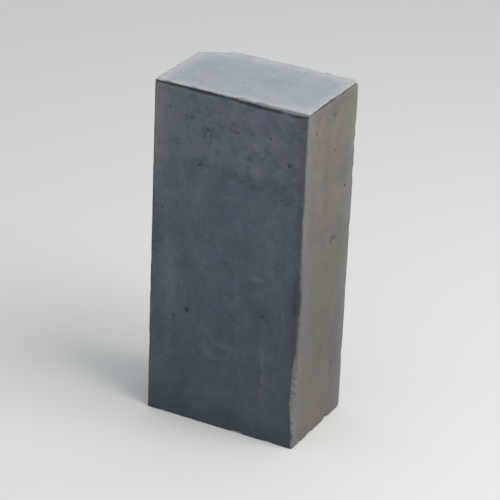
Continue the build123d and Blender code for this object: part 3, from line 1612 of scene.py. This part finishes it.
    def aged(self, sheet: Sheet, colour: Socket) -> Socket:
        """Tints, stains, pale arrises, the lift's line, the lip's shadow and the dark foot, in that
        order.

        The pale arrises are wear and partly painted highlight, warmer on the lit side; the lip's
        shadow is painted shadow; the foot's dark is moisture and dirt, partly painted ground shade.

        Args:
            sheet: the sheet to draw on.
            colour: the new faces' colour.

        Returns:
            The old faces' colour.
        """
        uneven = sheet.patches(self.uneven)
        lit_and_dusty = sheet.mark("lit_and_dusty")
        colour = sheet.mix(sheet.mark("violet"), colour, self.violet, "MULTIPLY")
        colour = sheet.laid(colour, self.rosy, sheet.mark("rosy"), uneven, self.tint_share)
        colour = sheet.laid(colour, self.olive, sheet.mark("olive"), uneven, self.tint_share)
        colour = sheet.laid(colour, self.stain, sheet.mark("dark"), uneven, self.shade_share)
        torn = sheet.times(sheet.mark("stain"), sheet.patches(self.torn))
        colour = sheet.laid(colour, self.stain, sheet.ramp(torn, self.stain_edge), self.stain_share)
        bloom = sheet.mark("bloom")
        colour = sheet.laid(colour, self.edge_pale, bloom, uneven, self.bloom_share)
        faint = sheet.ramp(lit_and_dusty, self.lift_fading)
        colour = sheet.laid(colour, self.stain, sheet.mark("lift"), uneven, faint)
        # Pale arris bands: wear and partly painted highlight, warmer on the side painted lit.
        edge = sheet.mix(lit_and_dusty, self.edge_pale, self.edge_pale_lit)
        colour = sheet.laid(colour, edge, sheet.mark("pale"), uneven, self.pale_share)
        # Painted shadow in the undercut below the struck skin's lip.
        under = sheet.ramp(sheet.mark("lip"), self.lip_shadow_edge)
        colour = sheet.laid(colour, self.shade, under, self.lip_shadow_share)
        # Ragged darker band at the foot: moisture and dirt, partly painted ground shade, faint on
        # the lit side.
        wander = sheet.noise(sheet.place, self.foot_dark_size, 4.0)
        ragged = sheet.math("MULTIPLY_ADD", wander, -self.foot_dark_wander, sheet.height)
        foot_dark = sheet.ramp(ragged, self.foot_dark_edge)
        return sheet.laid(colour, self.damp_and_shade, foot_dark, sheet.ramp(lit_and_dusty, self.foot_dark_on_lit))

    def struck_colour(self, sheet: Sheet) -> Socket:
        """Trowelled end: pale cement skin, greyer in slow clouds and strokes, palest on the rim.

        Args:
            sheet: the sheet to draw on.

        Returns:
            The colour.
        """
        clouds = sheet.patches(self.skin_clouds, sheet.moved(sheet.place, self.cloud_draw))
        colour = sheet.laid(self.struck_pale, self.struck_grey, clouds)
        hues = sheet.patches(self.skin_hues)
        colour = sheet.tinted(colour, sheet.mix(hues, self.skin_green, self.skin_violet))
        strokes = sheet.patches(self.strokes, sheet.moved(sheet.place, self.stroke_draw))
        colour = sheet.laid(colour, self.struck_rim, strokes)
        colour = sheet.laid(colour, self.mould_mid, sheet.patches(self.specks))
        rim = sheet.ramp(sheet.mark("rim"), self.rim_edge)
        return sheet.laid(colour, self.struck_rim, rim, sheet.patches(self.patchy_rim))

    def speckled(self, sheet: Sheet, colour: Socket) -> Socket:
        """Broken stone in the chips, sand and lime specks over all, and painted shade in the pores
        and air holes.

        Args:
            sheet: the sheet to draw on.
            colour: the surface's colour.

        Returns:
            The colour with its specks.
        """
        stones = sheet.cells(sheet.place, self.stone_size, "Color")
        mortar = sheet.tinted(self.broken, sheet.ramp(stones, self.stone_tones))
        colour = sheet.laid(colour, mortar, sheet.mark("broken"), self.broken_share)
        colour = sheet.laid(colour, self.broken, sheet.mark("worn"), self.worn_share)
        colour = sheet.tinted(colour, sheet.patches(self.sand))
        lime = sheet.cells(sheet.moved(sheet.place, shift=self.aside), self.lime_size)
        lime = sheet.times(sheet.ramp(lime, self.lime_edge), sheet.patches(self.lime_places))
        colour = sheet.laid(colour, self.edge_pale, lime, self.lime_share)
        # Painted shade in small pores that the mesh has no holes for.
        pores = sheet.ramp(sheet.cells(sheet.place, self.pore_size), self.pore_edge)
        pores = sheet.times(pores, sheet.patches(self.pore_places))
        colour = sheet.laid(colour, self.pit, pores, self.pore_share)
        # Painted shade in the air holes, darker where they are deeper.
        return sheet.laid(colour, self.pit, sheet.mark("pit"), self.pit_share)

    def relief(self, sheet: Sheet) -> Socket:
        """Fine relief: sand grain, coarser where the concrete is broken, and small pores.

        Args:
            sheet: the sheet to draw on.

        Returns:
            The bumped normal.
        """
        grain = sheet.noise(sheet.place, self.grain_size, rough=self.grain_rough)
        worn = sheet.times(sheet.mark("worn"), self.worn_relief)
        bare = sheet.math("MAXIMUM", sheet.mark("broken"), worn)
        coarse = sheet.times(sheet.noise(sheet.place, self.stone_size), bare)
        pores = sheet.ramp(sheet.cells(sheet.place, self.pore_size), self.pore_dip)
        stony = sheet.math("MULTIPLY_ADD", coarse, self.broken_relief, grain)
        height = sheet.math("ADD", stony, pores)
        inputs = {"Height": height, "Strength": self.relief_strength, "Distance": self.relief_reach}
        return sheet.add("ShaderNodeBump", inputs).outputs["Normal"]


@dataclass
class Studio:
    """Plain pale floor, soft light from above and to the right, and the camera."""

    low: Vector
    high: Vector
    aim_height: float = 0.492
    azimuth: float = 27.2
    elevation: float = 25.4
    distance: float = 3.85
    roll: float = 2.45
    lens: float = 167.0
    sensor: float = 36.0
    sky: float = 0.55
    sky_tint: Colour = (0.95, 0.98, 1.0)
    key_watts: float = 48.0
    key_tint: Colour = (1.0, 0.97, 0.92)
    key_size: float = 1.8
    key_place: Vector = field(default_factory=lambda: Vector((1.75, -0.15, 2.65)))
    floor_size: float = 40.0
    floor_pale: Colour = (0.88, 0.88, 0.88)
    floor_bounce: Colour = (0.36, 0.36, 0.36)
    backdrop: Colour = (0.90, 0.90, 0.90)

    def __post_init__(self) -> None:
        """Works out the point that the camera and the lamp look at from the solid's box."""
        middle = (self.low + self.high) / 2.0
        self.target = Vector((middle.x, middle.y, self.aim_height * self.high.z))

    def camera(self) -> None:
        """Camera at the photograph's angle: back from the target, turned, raised, then rolled."""
        a, e, r = (math.radians(v) for v in (self.azimuth, self.elevation, self.roll))
        back = Vector((math.sin(a) * math.cos(e), -math.cos(a) * math.cos(e), math.sin(e)))
        level = Vector((math.cos(a), math.sin(a), 0.0))
        upright = back.cross(level)
        right = level * math.cos(r) + upright * math.sin(r)
        top = upright * math.cos(r) - level * math.sin(r)
        data = bpy.data.cameras.new("photo_camera")
        data.sensor_width = self.sensor
        data.lens = self.lens
        camera = bpy.data.objects.new("photo_camera", data)
        turn = Matrix((right, top, back)).transposed().to_4x4()
        camera.matrix_world = Matrix.Translation(self.target + back * self.distance) @ turn
        bpy.context.scene.collection.objects.link(camera)
        bpy.context.scene.camera = camera

    def floor(self) -> None:
        """Pale level floor: a square, pale to the camera and calmer in what it throws back."""
        half = self.floor_size / 2.0
        corners = [(-half, -half, 0.0), (half, -half, 0.0), (half, half, 0.0), (-half, half, 0.0)]
        mesh = bpy.data.meshes.new("floor")
        mesh.from_pydata(corners, [], [(0, 1, 2, 3)])
        material = bpy.data.materials.new("floor_paint")
        material.use_nodes = True
        sheet = Sheet(material.node_tree)
        colour = sheet.mix(self.seen(sheet), self.floor_bounce, self.floor_pale)
        shader = sheet.add("ShaderNodeBsdfDiffuse", {"Color": colour})
        sheet.add("ShaderNodeOutputMaterial", {"Surface": shader.outputs[0]})
        mesh.materials.append(material)
        floor = bpy.data.objects.new("floor", mesh)
        bpy.context.scene.collection.objects.link(floor)

    def seen(self, sheet: Sheet) -> Socket:
        """One where a ray comes from the camera, a mirror or glass, and nothing elsewhere.

        Args:
            sheet: the sheet to draw on.

        Returns:
            The value.
        """
        path = sheet.add("ShaderNodeLightPath").outputs
        mirror = sheet.math("MAXIMUM", path["Is Glossy Ray"], path["Is Transmission Ray"])
        return sheet.math("MAXIMUM", path["Is Camera Ray"], mirror)

    def light(self) -> None:
        """Even soft sky and one large lamp above and to the right."""
        world = bpy.data.worlds.new("soft_sky")
        world.use_nodes = True
        sheet = Sheet(world.node_tree)
        seen = self.seen(sheet)
        colour = sheet.mix(seen, self.sky_tint, self.backdrop)
        strength = sheet.ramp(seen, (0.0, 1.0, self.sky, 1.0))
        sky = sheet.add("ShaderNodeBackground", {"Color": colour, "Strength": strength})
        sheet.add("ShaderNodeOutputWorld", {"Surface": sky.outputs[0]})
        bpy.context.scene.world = world
        data = bpy.data.lights.new("key_lamp", "AREA")
        data.energy = self.key_watts
        data.size = self.key_size
        data.color = self.key_tint
        lamp = bpy.data.objects.new("key_lamp", data)
        lamp.location = self.key_place
        aim = self.target - self.key_place
        lamp.rotation_euler = aim.to_track_quat("-Z", "Y").to_euler()
        bpy.context.scene.collection.objects.link(lamp)


def main() -> None:
    """Builds the casting, dresses it and sets the stage."""
    logging.basicConfig(level=logging.INFO, format="%(name)s: %(message)s")
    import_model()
    low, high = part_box("curb_block")
    casting = CurbBlock(low, high).build()
    casting.data.materials.append(ConcreteFinish(float(high.z - low.z)).material())
    mesh = casting.data
    log.info("%s: %d points, %d quads", casting.name, len(mesh.vertices), len(mesh.polygons))
    studio = Studio(low, high)
    studio.floor()
    studio.light()
    studio.camera()
    bpy.context.scene.view_settings.view_transform = "Standard"


if __name__ == "__main__":
    main()
